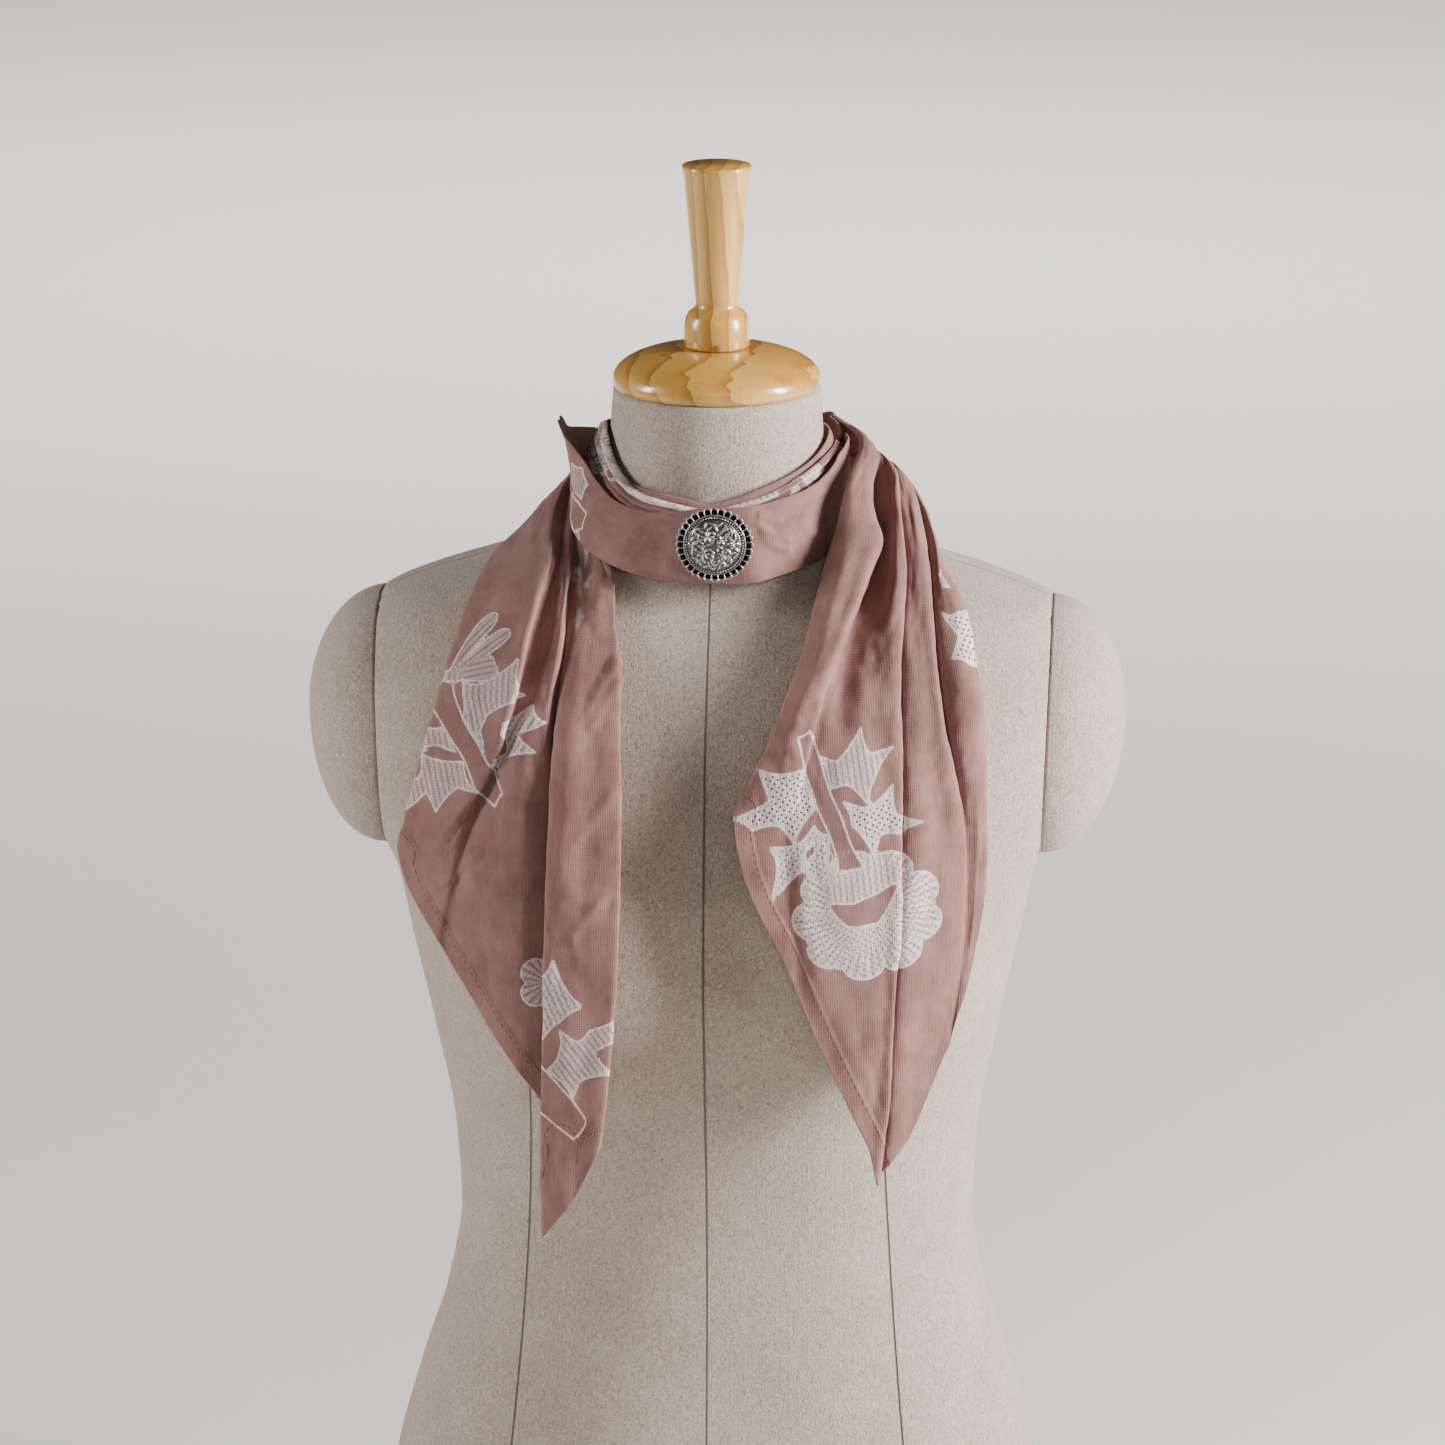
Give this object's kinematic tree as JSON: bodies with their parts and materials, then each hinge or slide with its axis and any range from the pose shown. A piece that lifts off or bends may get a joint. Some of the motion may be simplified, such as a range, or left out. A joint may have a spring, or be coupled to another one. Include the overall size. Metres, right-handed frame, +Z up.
{
  "type": "scarf with brooch on a dress form",
  "caption": "Limbless dress form with a turned wood neck board and handle, wearing a square scarf wound round the neck, ends hanging in front, pinned with a round brooch.",
  "frame": {"origin": "centre of the form's flat underside, on the neck axis", "axes": "+Z up along the neck axis, +X to the wearer's left, -Y towards the front of the form"},
  "size_m": [0.4358, 0.2683, 0.824],
  "materials": {
    "jersey": "matt knitted cover with a short nap",
    "varnished_wood": "gloss varnish",
    "rose_cotton": "matt plain weave",
    "printed_cotton": "matt plain weave with a pale print",
    "dark_silver": "aged silver tone"
  },
  "bodies": {
    "root": {"form_torso": "jersey", "form_arm_cap_right": "jersey", "form_arm_cap_left": "jersey", "form_neck_board": "varnished_wood", "form_handle": "varnished_wood", "scarf_front_band": "rose_cotton", "scarf_nape": "rose_cotton", "scarf_inner_wrap": "rose_cotton", "scarf_printed_strip": "printed_cotton", "scarf_right_tail": "rose_cotton", "scarf_left_tail": "rose_cotton", "brooch_rim": "dark_silver", "brooch_dome": "dark_silver", "brooch_pin": "dark_silver"}
  },
  "joints": []
}
